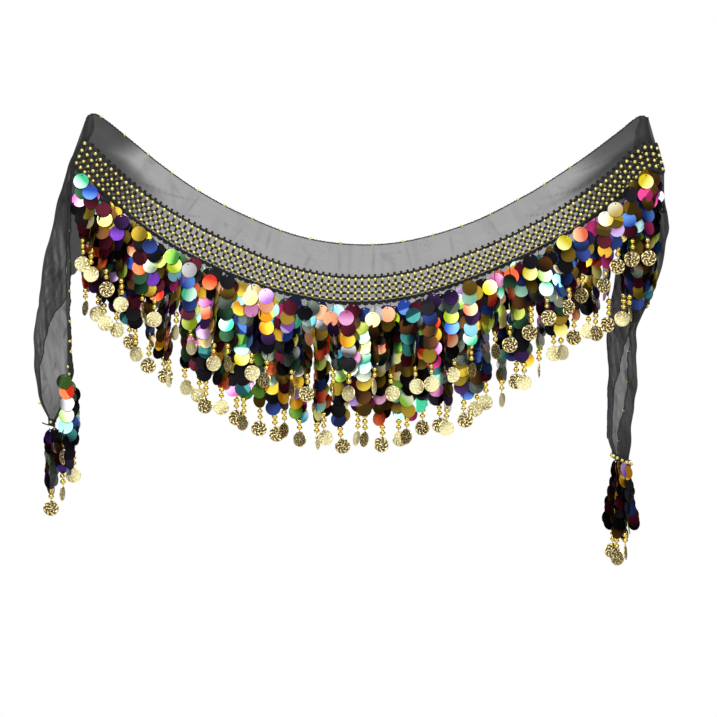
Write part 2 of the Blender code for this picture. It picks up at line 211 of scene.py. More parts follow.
def crease_depth(x, z):
    depth = 0.0
    for crease in CREASES:
        run_x = crease.x1 - crease.x0
        run_z = crease.z1 - crease.z0
        length = hypot(run_x, run_z)
        along = ((x - crease.x0) * run_x + (z - crease.z0) * run_z) / length ** 2
        if 0 < along < 1:
            away = ((x - crease.x0) * run_z - (z - crease.z0) * run_x) / length
            depth += crease.depth * sin(pi * along ** 0.7) * exp(-(away / crease.width) ** 2)
    return depth


def bow_depth(x):
    share = min(max((x - FRONT[0].x) / (FRONT[-1].x - FRONT[0].x), 0), 1)
    return -BOW * sin(pi * share)


def front_depth(x, z, above_net):
    fade = min(max((above_net + 6) / 14, 0), 1)
    depth = bow_depth(x) + crease_depth(x, z) * fade
    edge = min(x - FRONT[0].x, FRONT[-1].x - x)
    if edge < ROLL_WIDTH:
        depth += ROLL * (1 - max(edge, 0) / ROLL_WIDTH) ** 2
    return depth


GRIP_DEPTH = front_depth(GRIP_X, 0, FRONT[0].plain / 2) + CLOTH / 2


def strip_point(x, above_net, here=None):
    """A point of the chiffon's front face, by its distance above the net's upper edge."""
    here = here or station(x)
    lean = radians(here.lean)
    slide = max(above_net, -here.net)
    px = here.x + slide * sin(lean)
    pz = here.z + slide * cos(lean) + (above_net - slide)
    return Vector((px, front_depth(x, pz, above_net) - GRIP_DEPTH, pz))


def even_stations(first, last, pitch, share):
    """Stations evenly spaced along the strip, measured at a share of the net's width."""
    fine = spaced(first, last, 600)
    line = []
    for x in fine:
        here = station(x)
        line.append(strip_point(x, -here.net * share, here))
    lengths = [0.0]
    for a, b in zip(line, line[1:]):
        lengths.append(lengths[-1] + (b - a).length)
    count = round(lengths[-1] / pitch)
    found = []
    at = 0
    for i in range(count + 1):
        wanted = min(lengths[-1] * i / count, lengths[-1] - 1e-6)
        while lengths[at + 1] < wanted:
            at += 1
        part = (wanted - lengths[at]) / (lengths[at + 1] - lengths[at])
        found.append(fine[at] + (fine[at + 1] - fine[at]) * part)
    return found


# ---- shader writing ----

class Value:
    """A shader's number. Operators on it add Math nodes."""

    def __init__(self, finish, socket):
        self.finish = finish
        self.socket = socket

    def maths(self, operation, *inputs):
        sockets = dict(enumerate(inputs))
        return self.finish.node("ShaderNodeMath", {"operation": operation}, sockets)

    def __add__(self, other):
        return self.maths("ADD", self, other)

    def __radd__(self, other):
        return self.maths("ADD", other, self)

    def __sub__(self, other):
        return self.maths("SUBTRACT", self, other)

    def __rsub__(self, other):
        return self.maths("SUBTRACT", other, self)

    def __mul__(self, other):
        return self.maths("MULTIPLY", self, other)

    def __rmul__(self, other):
        return self.maths("MULTIPLY", other, self)

    def __rpow__(self, other):
        return self.maths("POWER", other, self)

    def sine(self):
        return self.maths("SINE", self)


class Finish:
    """A material and the nodes that make it."""

    def __init__(self, name):
        self.material = bpy.data.materials.new(name)
        self.material.use_nodes = True
        self.tree = self.material.node_tree
        self.shader = self.tree.nodes["Principled BSDF"]

    def node(self, kind, settings=None, sockets=None, output=0):
        made = self.tree.nodes.new(kind)
        for key, setting in (settings or {}).items():
            if key == "stops":
                ramp = made.color_ramp
                while len(ramp.elements) < len(setting):
                    ramp.elements.new(0.5)
                for element, (position, colour) in zip(ramp.elements, setting):
                    element.position = position
                    element.color = (*colour, 1)
            else:
                setattr(made, key, setting)
        for key, value in (sockets or {}).items():
            self.feed(made.inputs[key], value)
        return Value(self, made.outputs[output])

    def feed(self, socket, value):
        if isinstance(value, Value):
            self.tree.links.new(value.socket, socket)
        else:
            socket.default_value = value

    def surface(self, **sockets):
        for key, value in sockets.items():
            self.feed(self.shader.inputs[key.replace("_", " ")], value)
        return self.material

    def attribute(self, name, output="Fac"):
        return self.node("ShaderNodeAttribute", {"attribute_name": name}, output=output)

    def place(self, scale):
        """Object coordinates, stretched."""
        spot = self.node("ShaderNodeTexCoord", output="Object")
        return self.node("ShaderNodeMapping", None, {"Vector": spot, "Scale": scale})

    def grain(self, vector, scale, detail=3.0):
        settings = {"noise_dimensions": "3D"}
        sockets = {"Vector": vector, "Scale": scale, "Detail": detail}
        return self.node("ShaderNodeTexNoise", settings, sockets)

    def blend(self, share, first, second):
        """A colour between two."""
        settings = {"data_type": "RGBA"}
        return self.node("ShaderNodeMix", settings, {0: share, 6: first, 7: second}, output=2)

    def bump(self, height, distance, strength=1.0):
        sockets = {"Height": height, "Distance": distance, "Strength": strength}
        return self.node("ShaderNodeBump", None, sockets)


# ---- finishes ----

SHEER = 0.63               # how much one taut layer of chiffon hides
WEAVE_PITCH = 0.0007


def chiffon_finish():
    finish = Finish("sheer_black_chiffon")
    threads = finish.node("ShaderNodeUVMap", {"uv_map": "strip"})
    apart = finish.node("ShaderNodeSeparateXYZ", None, {0: threads})
    warp = (Value(finish, apart.socket.node.outputs[0]) * (2 * pi / WEAVE_PITCH)).sine()
    weft = (Value(finish, apart.socket.node.outputs[1]) * (2 * pi / WEAVE_PITCH)).sine()
    weave = warp * weft
    along = finish.node("ShaderNodeMapping", None, {"Vector": threads, "Scale": (9, 260, 1)})
    slubs = finish.grain(along, 1.0, 4.0)
    clouds = finish.grain(threads, 24.0, 2.0)
    layers = finish.attribute("layers")
    density = layers * (0.84 + 0.18 * slubs + 0.16 * clouds) + 0.05 * weave
    hidden = 1 - (1 - SHEER) ** density
    shade = finish.blend(slubs, (0.010, 0.0095, 0.010, 1), (0.026, 0.025, 0.026, 1))
    relief = finish.bump(weave + 1.5 * slubs, 0.00006, 0.6)
    return finish.surface(Base_Color=shade, Alpha=hidden, Normal=relief, Roughness=0.72,
                          Specular_IOR_Level=0.25, Sheen_Weight=0.12, Sheen_Roughness=0.45)


def yarn_finish():
    finish = Finish("black_crochet_yarn")
    twist = finish.grain(finish.place((1, 1, 2.4)), 900.0, 2.0)
    fuzz = finish.grain(finish.place((1, 1, 1)), 260.0, 3.0)
    shade = finish.blend(fuzz, (0.004, 0.004, 0.0045, 1), (0.020, 0.019, 0.021, 1))
    relief = finish.bump(twist, 0.0004, 0.9)
    return finish.surface(Base_Color=shade, Normal=relief, Roughness=0.62 + 0.2 * fuzz,
                          Specular_IOR_Level=0.35, Sheen_Weight=0.2, Sheen_Roughness=0.4)


def gilt_finish(name, worn, bright, metallic):
    finish = Finish(name)
    wear = finish.grain(finish.place((1, 1, 1)), 420.0, 3.0)
    shade = finish.blend(wear, worn, bright)
    relief = finish.bump(wear, 0.0001, 0.25)
    return finish.surface(Base_Color=shade, Metallic=metallic, Roughness=0.12 + 0.16 * wear,
                          Normal=relief)


def coin_finish():
    """Gilt that has gone dark in the hollows of the stamping, under a painted glare of pale cream
    that covers more of one coin than of another.
    """
    finish = Finish("stamped_gilt_coin")
    raised = finish.attribute("raised")
    polish = finish.attribute("polish")
    wear = finish.grain(finish.place((1, 1, 1)), 620.0, 4.0)
    stops = [(0.38, (0.24, 0.15, 0.04)), (0.50, (0.80, 0.60, 0.22)), (0.62, (1.0, 0.90, 0.54))]
    high = finish.node("ShaderNodeValToRGB", {"stops": stops}, {0: wear})
    stamped = finish.blend(raised, (0.016, 0.010, 0.003, 1), high)
    # painted glare: pale cream laid over the stamping, with less metal, so it shows bright under
    # the front light
    shade = finish.blend(0.9 * polish, stamped, (1.0, 0.92, 0.50, 1))
    relief = finish.bump(wear, 0.0002, 0.35)
    return finish.surface(Base_Color=shade, Metallic=(0.3 + 0.65 * raised) * (1 - 0.6 * polish),
                          Roughness=0.46 - 0.18 * raised, Normal=relief, Specular_IOR_Level=0.2)


def paillette_finish():
    """Film that turns from its own colour to the lighter colour of a painted highlight across each
    disc, by a soft or a sharp edge.
    """
    finish = Finish("paillette_film")
    turn = finish.node("ShaderNodeSeparateXYZ", None, {0: finish.attribute("turn", "Vector")})
    across, sharpness, edge = (Value(finish, turn.socket.node.outputs[axis]) for axis in range(3))
    share = finish.node("ShaderNodeMath", {"operation": "MULTIPLY_ADD", "use_clamp": True},
                        {0: across - edge, 1: sharpness, 2: 0.5})
    # the disc's own colour, turning across it to the lighter colour of its painted highlight
    colour = finish.blend(share, finish.attribute("tint", "Color"),
                          finish.attribute("turned", "Color"))
    haze = finish.grain(finish.place((1, 1, 1)), 130.0, 2.0)
    return finish.surface(Base_Color=colour, Metallic=0.55, Roughness=0.24 + 0.14 * haze,
                          Alpha=finish.attribute("film"), Specular_IOR_Level=0.08)


CHIFFON = chiffon_finish()
YARN = yarn_finish()
GILT = gilt_finish("gilt_beads", (0.70, 0.47, 0.06, 1), (1.0, 0.82, 0.22, 1), 0.9)
PALE_GILT = gilt_finish("pale_gilt_seed_beads", (0.64, 0.52, 0.10, 1), (0.95, 0.86, 0.30, 1), 0.6)
COIN = coin_finish()
FILM = paillette_finish()


# ---- making pieces ----

SHARP_ANGLE = 55


def mesh_from(bm, name="template"):
    mesh = bpy.data.meshes.new(name)
    bm.to_mesh(mesh)
    bm.free()
    return mesh


def piece(name, bm, material, slot, replaces=()):
    """A finished piece from a bmesh in metres."""
    mesh = mesh_from(bm, name)
    made = placed(name, mesh)
    mesh.materials.append(material)
    mesh.shade_smooth()
    mesh.set_sharp_from_angle(angle=radians(SHARP_ANGLE))
    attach(made, "root")
    if replaces:
        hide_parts(*replaces)
    return made


def cloth(name, rows, layers, across_sizes, replaces):
    """A sheet of chiffon from rows of points in mm, with how dense it is at each."""
    across = len(rows[0]) - 1
    down = len(rows) - 1
    bm = bmesh.new()
    bmesh.ops.create_grid(bm, x_segments=across, y_segments=down, size=1)
    density = bm.verts.layers.float.new("layers")
    places = {}
    for vert in bm.verts:
        column = round((vert.co.x + 1) / 2 * across)
        row = round((1 - vert.co.y) / 2 * down)
        places[vert] = across_sizes(column, row)
        vert[density] = layers[row][column]
        vert.co = rows[row][column] * MM
    strip = bm.loops.layers.uv.new("strip")
    for face in bm.faces:
        for loop in face.loops:
            loop[strip].uv = places[loop.vert]
    return piece(name, bm, CHIFFON, "chiffon", replaces)


def tubes(name, paths, radius, replaces=(), sides=6):
    """Yarns along paths in mm. A path's points may carry their own thickness."""
    curve = bpy.data.curves.new(name, "CURVE")
    curve.dimensions = "3D"
    curve.bevel_depth = radius * MM
    curve.bevel_resolution = (sides - 4) // 2
    curve.use_fill_caps = True
    for path in paths:
        spline = curve.splines.new("POLY")
        spline.points.add(len(path) - 1)
        for knot, point in zip(spline.points, path):
            knot.co = (point[0] * MM, point[1] * MM, point[2] * MM, 1)
            knot.radius = point[3] if len(point) > 3 else 1.0
    guide = placed(name + "_line", curve)
    bpy.context.view_layer.update()
    drawn = guide.evaluated_get(bpy.context.evaluated_depsgraph_get())
    mesh = bpy.data.meshes.new_from_object(drawn)
    bm = bmesh.new()
    bm.from_mesh(mesh)
    bmesh.ops.remove_doubles(bm, verts=bm.verts, dist=1e-6)
    bpy.data.objects.remove(guide)
    bpy.data.meshes.remove(mesh)
    return piece(name, bm, YARN, "crochet", replaces)


def many(name, trim, placements, replaces=()):
    """One joined mesh with a copy of a trim at each placement, painted with what that carries."""
    bm = bmesh.new()
    layers = {key: getattr(bm.verts.layers, kind).new(key) for key, kind in trim.layers.items()}
    for placement in placements:
        before = len(bm.verts)
        bm.from_mesh(trim.mesh)
        bm.verts.ensure_lookup_table()
        fresh = bm.verts[before:]
        if trim.paint:
            trim.paint(fresh, placement.paint, layers)
        bmesh.ops.transform(bm, matrix=placement.matrix, verts=fresh)
    return piece(name, bm, trim.material, trim.slot, replaces)


Placement = namedtuple("Placement", "matrix paint", defaults=[None])


def at(point, turn=0.0, lean=0.0, roll=0.0, size=1.0):
    """Where a small shape goes: a point in mm, turned about Z, then leaned and rolled."""
    matrix = Matrix.Translation(Vector(point[:3]) * MM)
    matrix @= Matrix.Rotation(turn, 4, "Z")
    matrix @= Matrix.Rotation(lean, 4, "X")
    matrix @= Matrix.Rotation(roll, 4, "Y")
    return matrix @ Matrix.Scale(size, 4)


# ---- small shapes ----

SEED_BEAD = 2.5            # radii
PIP_BEAD = 0.95
HEM_BEAD = 2.0
DROP_BEAD = 3.7
PAILLETTE = 10.0
PAILLETTE_HOLE = 1.1
HOLE_DOWN = 2.3            # from a disc's rim to the middle of its hole
FILM_THICKNESS = 0.25
COIN_SIZE = 10.0
COIN_DOWN = 9.5            # from a coin's ring to its middle


def bead_shape(radius, around, rings):
    bm = bmesh.new()
    bmesh.ops.create_uvsphere(bm, u_segments=around, v_segments=rings, radius=radius * MM)
    return mesh_from(bm)


def paillette_shape():
    """A flat disc of film that hangs from a hole near its rim. The hole is its origin."""
    bm = bmesh.new()
    rings = []
    for radius, down, count in ((PAILLETTE_HOLE, 0, 5), (PAILLETTE, PAILLETTE - HOLE_DOWN, 18)):
        ring = bmesh.ops.create_circle(bm, segments=count, radius=radius * MM)["verts"]
        for vert in ring:
            vert.co = (vert.co.x, 0, vert.co.y - down * MM)
        rings.append(ring)
    bmesh.ops.bridge_loops(bm, edges=bm.edges[:])
    bmesh.ops.recalc_face_normals(bm, faces=bm.faces)
    bmesh.ops.solidify(bm, geom=bm.faces[:], thickness=FILM_THICKNESS * MM)
    return mesh_from(bm)


def coin_relief(angle, radius):
    """How high the stamping stands at a point of a coin's face, from 0 to 1: a rosette in a
    wreath of curling leaves, inside a raised rim."""
    if radius > 8.9 or radius < 1.0:
        return 1.0
    if radius < 4.4:
        return 1.0 if cos(5 * angle + 0.9 * radius) > 0.25 else 0.0
    if radius < 5.0:
        return 0.0
    leaves = cos(8 * angle - 1.1 * radius) + 0.5 * cos(3 * angle + 1.7 * radius)
    return 1.0 if leaves > 0.2 else 0.0


def coin_shape():
    """A thin coin with a raised rim and a stamped spray, hung from its top."""
    bm = bmesh.new()
    profile = []
    for radius in (0.0, 0.9, 1.3, 2.4, 3.6, 4.5, 5.2, 6.0, 6.6, 7.4, 8.1, 8.7, 9.1, 10.0):
        profile.append(bm.verts.new((radius * MM, -0.3 * MM, 0)))
    for first, second in zip(profile, profile[1:]):
        bm.edges.new((first, second))
    bmesh.ops.spin(bm, geom=bm.verts[:] + bm.edges[:], axis=(0, 1, 0), cent=(0, 0, 0),
                   angle=2 * pi, steps=48, use_merge=True)
    bmesh.ops.remove_doubles(bm, verts=bm.verts, dist=1e-6)
    raised = bm.verts.layers.float.new("raised")
    for vert in bm.verts:
        radius = hypot(vert.co.x, vert.co.z) / MM
        high = coin_relief(atan2(vert.co.z, vert.co.x), radius)
        vert[raised] = high
        vert.co.y = (-0.25 - 0.45 * high * (1 if radius < 9.8 else 0)) * MM
    twin = bmesh.ops.duplicate(bm, geom=bm.verts[:] + bm.edges[:] + bm.faces[:])["geom"]
    back = [item for item in twin if isinstance(item, bmesh.types.BMVert)]
    bmesh.ops.transform(bm, matrix=Matrix.Scale(-1, 4, (0, 1, 0)), verts=back)
    rims = [edge for edge in bm.edges if edge.is_boundary]
    bmesh.ops.bridge_loops(bm, edges=rims)
    bmesh.ops.recalc_face_normals(bm, faces=bm.faces)
    bmesh.ops.translate(bm, vec=(0, 0, -COIN_DOWN * MM), verts=bm.verts)
    return mesh_from(bm)


def bail_shape():
    """The wire ring that a coin hangs from."""
    bm = bmesh.new()
    ring = bmesh.ops.create_circle(bm, segments=5, radius=0.4 * MM)
    bmesh.ops.translate(bm, vec=(1.5 * MM, 0, 0), verts=ring["verts"])
    bmesh.ops.spin(bm, geom=bm.verts[:] + bm.edges[:], axis=(0, 0, 1), cent=(0, 0, 0),
                   angle=2 * pi, steps=10, use_merge=True)
    bmesh.ops.remove_doubles(bm, verts=bm.verts, dist=1e-6)
    bmesh.ops.recalc_face_normals(bm, faces=bm.faces)
    return mesh_from(bm)


Film = namedtuple("Film", "tint turned angle sharpness edge film")
Polish = namedtuple("Polish", "amount angle")


def paint_film(verts, film, layers):
    """Gives one disc its own colour and the lighter colour of its painted highlight, and how it
    turns from one to the other.
    """
    middle = -(PAILLETTE - HOLE_DOWN) * MM
    for vert in verts:
        across = vert.co.x * cos(film.angle) + (vert.co.z - middle) * sin(film.angle)
        vert[layers["tint"]] = (*film.tint, 1)
        vert[layers["turned"]] = (*film.turned, 1)
        vert[layers["turn"]] = (across / (PAILLETTE * MM), film.sharpness, film.edge)
        vert[layers["film"]] = film.film


def paint_coin(verts, polish, layers):
    """A painted glare, strongest on one side of a coin and fading towards the other."""
    middle = -COIN_DOWN * MM
    for vert in verts:
        across = vert.co.x * cos(polish.angle) + (vert.co.z - middle) * sin(polish.angle)
        vert[layers["polish"]] = polish.amount * (0.3 + 0.7 * soft(-9, 2, across / MM))


# A small shape with its finish and slot, and how its copies are painted, into which attributes.
Trim = namedtuple("Trim", "mesh material slot paint layers", defaults=["gilt", None, {}])
seed_bead = Trim(bead_shape(SEED_BEAD, 9, 6), PALE_GILT)
pip_bead = Trim(bead_shape(PIP_BEAD, 6, 4), PALE_GILT)
hem_bead = Trim(bead_shape(HEM_BEAD, 10, 7), PALE_GILT)
drop_bead = Trim(bead_shape(DROP_BEAD, 12, 8), GILT)
bail = Trim(bail_shape(), GILT)
coin = Trim(coin_shape(), COIN, "gilt", paint_coin, {"polish": "float"})
paillette = Trim(paillette_shape(), FILM, "paillette", paint_film,
                 {"tint": "float_color", "turned": "float_color", "turn": "float_vector",
                  "film": "float"})


# ---- cloth ----

CLOTH_STEP = 1.5
PLAIN_STEPS = 16           # rows of the mesh: above the net, behind it and behind the fringe
NET_STEPS = 8
VEIL_STEPS = 10
TAIL_STEPS = 190
FLAP_STEPS = 10
FOLD_STEPS = 6
BACK_STEPS = 30
FLAP_WANDER = 2.6
FLAP_LAP = 1.3             # how far the left flap comes forward to lie over the right one
STRIP_BACK = 1.6           # how far behind the grips the back of the strip lies
TURN_OVER = 16.0           # the height in which a tail's top rounds over to the strip
TURN_IN = 4.5              # how far its left edge slips in behind the strip there
GATHERED = 2.0             # how many layers the gathers by the grips add
FAINT = 0.3                # how much of a tail shows where it leaves the strip


def gather_ripple(x, above_net):
    """Small gathers where the net draws the chiffon in, dying out above it and below it."""
    lift = noise.noise(Vector((x / 17, 3.1, 0))) + 0.5 * noise.noise(Vector((x / 7.5, 8.7, 0)))
    return 1.3 * lift * exp(-abs(above_net) / 16)


# Sharp little creases up the plain strip, by where they start along it, how far they slide along
# it on their way up, and the heights above the net that they run between.
FineCrease = namedtuple("FineCrease", "x slide foot head width shade")
FINE_CREASES = rows_of(
    FineCrease,
    (52, 46, 2, 20, 2.6, 0.45), (70, 64, 6, 31, 3.0, 0.35), (118, 30, 1, 16, 2.2, 0.35),
    (127, 4, 4, 40, 1.1, 0.35), (189, 7, 2, 33, 1.5, 0.22), (231, -3, 8, 41, 1.6, 0.25),
    (283, 5, 2, 26, 2.2, 0.22), (330, -6, 6, 41, 1.5, 0.2), (372, 4, 1, 36, 2.0, 0.25),
    (424, -3, 3, 42, 1.6, 0.22), (478, 6, 4, 34, 1.7, 0.22), (541, -5, 1, 36, 1.5, 0.25),
    (612, -40, 1, 17, 2.2, 0.4), (662, -62, 4, 27, 2.8, 0.4), (690, -48, 2, 14, 2.4, 0.5),
    (704, -58, 12, 32, 3.0, 0.35))


def wrinkle(across, along, seed):
    """Thin wandering lines, from 0 to 1, where the cloth doubles in a small crease."""
    wander = noise.noise(Vector((across / 13, along / 70, seed)))
    break_up = soft(-0.1, 0.35, noise.noise(Vector((across / 20, along / 24, seed + 9))))
    return exp(-(wander / 0.045) ** 2) * break_up


def front_layers(x, above_net):
    """How dense the front chiffon looks: doubled at the folds by the grips and in the pleats."""
    left = (1 - soft(15, 120, x)) * (1 - soft(6, 34 - x * 0.16, above_net))
    corner = 1 - soft(8, 40, x - above_net * 0.35)
    right = soft(610, 700, x) * (1 - soft(6, 30, above_net))
    far_corner = 0.9 * soft(655, 718, x + above_net * 0.35)
    pleat = 0.5 * exp(-((above_net - 9 - (742 - x) * 0.02) / 3.5) ** 2) * soft(560, 690, x)
    streak = 0.18 * max(0.0, noise.noise(Vector((x / 9, above_net / 60, 5.5))))
    streak += 0.22 * wrinkle(x * 0.6 + above_net, x - 0.3 * above_net, 2.5)
    lines = 0.0
    for fine in FINE_CREASES:
        if fine.foot < above_net < fine.head:
            along = (above_net - fine.foot) / (fine.head - fine.foot)
            away = x - fine.x - fine.slide * along
            lines += fine.shade * sin(pi * along) * exp(-(away / fine.width) ** 2)
    return 1 + GATHERED * max(left, corner, right, far_corner) + pleat + streak + lines


def front_cloth():
    columns = even_stations(FRONT[0].x, FRONT[-1].x, CLOTH_STEP, 0.5)
    rows = [[] for _ in range(PLAIN_STEPS + NET_STEPS + VEIL_STEPS + 1)]
    layers = [[] for _ in rows]
    sizes = []
    for x in columns:
        here = station(x)
        heights = spaced(here.plain, 0, PLAIN_STEPS)
        heights += spaced(0, -here.net, NET_STEPS)[1:]
        heights += spaced(-here.net, -here.net - here.veil, VEIL_STEPS)[1:]
        sizes.append(heights)
        for row, density, height in zip(rows, layers, heights):
            point = strip_point(x, height, here)
            point.y += CLOTH / 2
            if height > 0:
                point.y += gather_ripple(x, height)
            row.append(point)
            density.append(front_layers(x, height))

    def unrolled(column, row):
        return (column * CLOTH_STEP * MM, sizes[column][row] * MM)

    return cloth("chiffon_strip", rows, layers, unrolled, ["chiffon_front"])


def flap_edge(flap, z, seed):
    """A flap's width, which wanders a little as its hem hangs."""
    wander = noise.noise(Vector((z / 22, seed, 0))) + 0.5 * noise.noise(Vector((z / 8, seed, 4)))
    return max(flap + FLAP_WANDER * wander * min(flap / 8, 1), 0.6)


def tail_line(rows, z, seed, flap_steps, fold_steps, back_steps):
    """A tail's cloth at one height: flap, fold, back layer, fold and flap, left to right."""
    here = row_between(rows, min(max(z, rows[-1].z), rows[0].z))
    over = min(max((z - rows[0].z + TURN_OVER) / TURN_OVER, 0), 1)
    apart = max((1 - over ** 2) ** 0.5, 0.1)
    radius = here.deep / 2
    width = here.right - here.left
    inner_left = here.left + radius
    inner_right = here.right - radius
    right_flap = flap_edge(here.right_flap, z, seed)
    left_flap = min(flap_edge(here.left_flap, z, seed + 3), inner_right - inner_left)
    flat = []
    for share in spaced(1, 0, flap_steps):
        flat.append((inner_left + left_flap * share, -radius - FLAP_LAP * share))
    for turn in spaced(0, pi, fold_steps)[1:]:
        flat.append((inner_left - radius * sin(turn), -radius * cos(turn)))
    for x in spaced(inner_left, inner_right, back_steps)[1:]:
        flat.append((x, radius))
    for turn in spaced(0, pi, fold_steps)[1:]:
        flat.append((inner_right + radius * sin(turn), radius * cos(turn)))
    for x in spaced(inner_right, inner_right - right_flap, flap_steps)[1:]:
        flat.append((x, -radius))
    points = []
    for x, y in flat:
        across = (x - here.left) / width
        fold = tail_fold(here, x, z)
        rumple = 0.9 * noise.noise(Vector((x / 9, z / 26, seed + (y > 0))))
        behind = STRIP_BACK + (here.y + y + fold + rumple - STRIP_BACK) * apart
        tucked = x + TURN_IN * over ** 3 * (1 - across)
        points.append(Vector((tucked, behind, z - here.slant * across)))
    return points


# Where a tail leaves the strip it is taken for part of the strip's own folds: the heights between
# which it comes to show in full, and where it does so from the start, from inside to outside.
Leaving = namedtuple("Leaving", "top bottom inside outside")


# Where a tail's edge is bunched up and so hides more: its place and width across, the heights
# between which it comes to be so, and how many layers it adds.
Bunch = namedtuple("Bunch", "x width top bottom layers")


def tail_cloth(name, rows, seed, above, below, leaving, bunch, thickness, replaces):
    """A tail, from where it leaves the strip to where it is gathered into its binding."""
    heights = spaced(rows[0].z + above, rows[-1].z - below, TAIL_STEPS)
    lines = [tail_line(rows, z, seed, FLAP_STEPS, FOLD_STEPS, BACK_STEPS) for z in heights]
    widest = max((b - a).length for line in lines for a, b in zip(line, line[1:]))
    layers = []
    for line, z in zip(lines, heights):
        length = sum((b - a).length for a, b in zip(line, line[1:]))
        tight = thickness + 0.5 * soft(70, 25, length)
        row = []
        for index, point in enumerate(line):
            shows = soft(leaving.top, leaving.bottom, z)
            shows = max(shows, 0.8 * soft(leaving.inside, leaving.outside, point.x))
            clear = FAINT + (1 - FAINT) * shows
            streak = noise.noise(Vector((index / 2.6, z / 70, seed)))
            slant = noise.noise(Vector(((point.x + z * 0.35) / 5, (z - point.x) / 48, seed + 7)))
            crinkle = wrinkle(point.x - 0.45 * z, z + 0.45 * point.x, seed)
            crinkle += wrinkle(point.x + 0.25 * z, z, seed + 4)
            folded = index < FLAP_STEPS or index > len(line) - FLAP_STEPS
            pleat = noise.noise(Vector(((point.x + z * 0.08) / 3.2, z / 110, seed + 2)))
            uneven = 0.35 * streak + 0.4 * max(slant, -0.2) + 0.6 * crinkle
            if folded:
                uneven += 1.5 * pleat - 0.25
            away = (point.x - bunch.x) / bunch.width
            uneven += bunch.layers * soft(bunch.top, bunch.bottom, z) * exp(-away ** 2)
            row.append(max(clear * (tight + uneven), 0.02))
        layers.append(row)

    def unrolled(column, row):
        return (heights[row] * MM, column * widest * MM)

    return cloth(name, lines, layers, unrolled, replaces)


front = front_cloth()
left_tail = tail_cloth("chiffon_tail_left", LEFT_TAIL, 2, 3, 3, Leaving(17, -23, 6, -9),
                       Bunch(-22, 3.2, -236, -300, 3.5), 1.6, ["chiffon_left_tail"])
right_tail = tail_cloth("chiffon_tail_right", RIGHT_TAIL, 5, 8, 6, Leaving(-34, -96, 714, 741),
                        Bunch(703, 12, -380, -425, 0.8), 1.75, ["chiffon_right_tail"])


# ---- hem ----

HEM_THREAD = 0.72
FLAP_THREAD = 0.75
HEM_OUT = 0.4              # how far the hem's middle lies outside the edge that it wraps
HEM_BEAD_PITCH = 40.0
SIDE_HEM_STEPS = 110
FLAP_HEM_STEPS = 120
OVERCAST_PITCH = 3.4


def rolled_line(points, seed):
    """The hem's thread: thicker and thinner as its stitches pull it."""
    rng = random.Random(seed)
    return [(*point, rng.uniform(0.75, 1.25)) for point in points]


def overcast(points, radius, pitch):
    """A finer thread wound round the hem, as an open helix."""
    line = []
    travelled = 0.0
    for before, after in zip(points, points[1:]):
        travelled += (after - before).length
        angle = 2 * pi * travelled / pitch
        along = (after - before).normalized()
        side = along.cross(Vector((0, 1, 0))).normalized()
        away = side * cos(angle) + Vector((0, 1, 0)) * sin(angle)
        line.append(after + away * radius)
    return line


def top_hem():
    points = []
    for x in even_stations(FRONT[0].x, FRONT[-1].x, 2.0, -1.2):
        edge = strip_point(x, station(x).plain + HEM_OUT)
        edge.y += CLOTH / 2
        points.append(edge)
    return points


def side_hem(rows, span, right):
    """The hem down a tail's right or left edge."""
    points = []
    for z in spaced(*span, SIDE_HEM_STEPS):
        here = row_between(rows, z)
        edge = here.right if right else here.left
        drop = here.slant if right else 0
        x = edge + (HEM_OUT if right else -HEM_OUT)
        points.append(Vector((x, here.y + tail_fold(here, edge, z), z - drop)))
    return points


def flap_hem(rows, seed, first, last, end):
    """The strip's own hem, down the edge of a tail's flap. end is 0 for the left flap's edge and
    -1 for the right one's."""
    lines = [tail_line(rows, z, seed, 2, 4, 4) for z in spaced(first, last, FLAP_HEM_STEPS)]
    return [line[end] + Vector((0, -0.5, 0)) for line in lines]


def hem(name, points, seed, replaces):
    thread = [rolled_line(points, seed), overcast(points, HEM_THREAD, OVERCAST_PITCH)]
    tubes(name, thread, HEM_THREAD, replaces)


def hem_beads(name, points, first_bead):
    beads = []
    travelled = -first_bead
    for before, after in zip(points, points[1:]):
        reached = travelled + (after - before).length
        if reached > 0 and travelled % HEM_BEAD_PITCH > reached % HEM_BEAD_PITCH:
            beads.append(Placement(at(after + Vector((0, -1.6, 0.6)))))
        travelled = reached
    many(name, hem_bead, beads)


left_side = side_hem(LEFT_TAIL, LEFT_HEM_SPAN, True)
hem("rolled_hem_top", top_hem(), 3, ["top_hem"])
hem("rolled_hem_left", left_side, 4, ["left_tail_hem"])
hem("rolled_hem_right", side_hem(RIGHT_TAIL, RIGHT_HEM_SPAN, False), 5, ["right_tail_hem"])
hem_beads("rolled_hem_top_beads", top_hem()[:-55], 22)
hem_beads("rolled_hem_left_beads", left_side, 2)
left_flap = [flap_hem(LEFT_TAIL, 2, -70, -374, 0)]
right_flaps = [flap_hem(RIGHT_TAIL, 5, -190, -418, 0), flap_hem(RIGHT_TAIL, 5, -190, -418, -1)]
for name, flaps in (("flap_hem_left", left_flap), ("flap_hem_right", right_flaps)):
    tubes(name, [rolled_line(line, 6) for line in flaps], FLAP_THREAD)
# The right tail's beads sit on the inside of its flap, and glint through it.
hidden_beads = [Vector((0, 3.4, 0)) + point for point in right_flaps[1][40:]]
hem_beads("flap_hem_right_beads", hidden_beads, 24)


# ---- crocheted net ----

NET_PITCH = 8.9
BEAD_ROWS = (0.09, 0.36, 0.62, 0.87)    # shares of the net's width
YARN_RADIUS = 1.28
YARN_OUT = 1.5             # how far the yarn stands in front of the chiffon
BEAD_OUT = 1.9             # how far a bead's middle stands in front of the yarn's
PICOT = 4.2
CHAIN_SWAY = 0.75
CHAIN_TURN = 4.7           # steps in which a chain's strands turn once round each other
POST_TURN = 4.4


def net_point(x, share, out, here=None):
    here = here or station(x)
    point = strip_point(x, -here.net * share, here)
    point.y -= out
    return point


